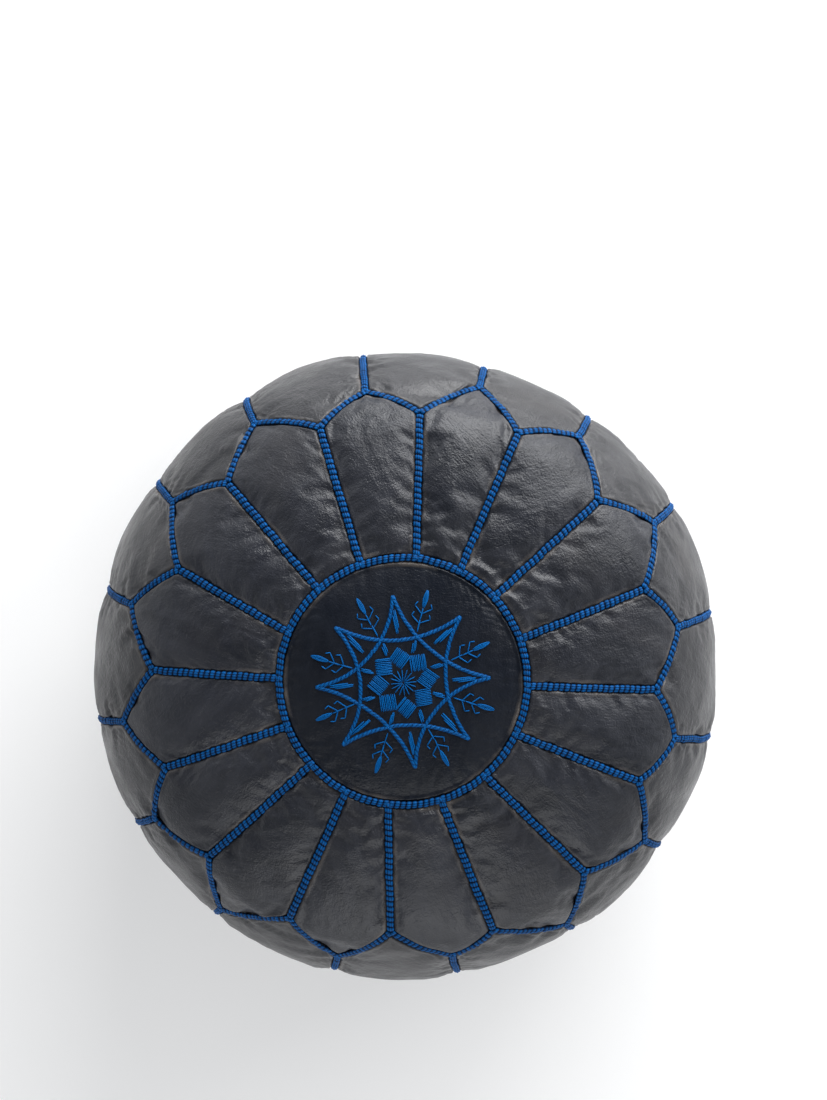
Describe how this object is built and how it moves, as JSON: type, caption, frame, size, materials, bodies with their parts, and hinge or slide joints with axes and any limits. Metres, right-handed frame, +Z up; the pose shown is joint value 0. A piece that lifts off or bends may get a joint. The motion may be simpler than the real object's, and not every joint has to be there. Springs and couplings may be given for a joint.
{
  "type": "leather pouf",
  "caption": "Round stuffed leather pouf with a petal-panelled top, raised contrast braid seams, an embroidered medallion and a zip under its base.",
  "frame": {"origin": "middle of the base, on the floor", "axes": "+Z up through the embroidered top; the zip runs along X and closes towards +X"},
  "size_m": [0.516, 0.516, 0.329],
  "materials": {
    "leather": "soft sheen, fine grain and creases",
    "braid": "raised braided thread",
    "embroidery": "stitched thread, slight sheen",
    "lining": "plain woven cotton",
    "wadding": "loose cotton wadding",
    "zip_tape": "woven tape",
    "zip_metal": "brushed, slightly worn"
  },
  "bodies": {
    "cover": {"base_half_left": "leather", "base_half_right": "leather", "base_seam_braid": "braid", "cotton_lining": "lining", "leaf_embroidery": "embroidery", "medallion_ring_braid": "braid", "petal_01": "leather", "petal_02": "leather", "petal_03": "leather", "petal_04": "leather", "petal_05": "leather", "petal_06": "leather", "petal_07": "leather", "petal_08": "leather", "petal_09": "leather", "petal_10": "leather", "petal_11": "leather", "petal_12": "leather", "petal_13": "leather", "petal_14": "leather", "petal_15": "leather", "petal_16": "leather", "rosette_embroidery": "embroidery", "scallop_braid": "braid", "side_panel_01": "leather", "side_panel_02": "leather", "side_panel_03": "leather", "side_panel_04": "leather", "side_panel_05": "leather", "side_panel_06": "leather", "side_panel_07": "leather", "side_panel_08": "leather", "side_panel_09": "leather", "side_panel_10": "leather", "side_panel_11": "leather", "side_panel_12": "leather", "side_panel_13": "leather", "side_panel_14": "leather", "side_panel_15": "leather", "side_panel_16": "leather", "side_seam_braids": "braid", "spoke_braids": "braid", "sprig_embroidery": "embroidery", "star_embroidery": "embroidery", "stuffing": "wadding", "top_medallion": "leather", "zip_stops": "zip_metal", "zip_tape_left": "zip_tape", "zip_tape_right": "zip_tape", "zip_teeth_left": "zip_metal", "zip_teeth_right": "zip_metal"},
    "zip_slider": {"zip_slider": "zip_metal"},
    "zip_pull": {"zip_pull": "zip_metal"}
  },
  "joints": [
    {"name": "zip_slide", "type": "slide", "parent": "cover", "child": "zip_slider", "axis": [-1, 0, 0], "range_m": [0, 0.21]},
    {"name": "pull_swing", "type": "hinge", "parent": "zip_slider", "child": "zip_pull", "pos_m": [0.105, 0, 0.0079], "axis": [0, -1, 0], "range_deg": [0, 170]}
  ]
}
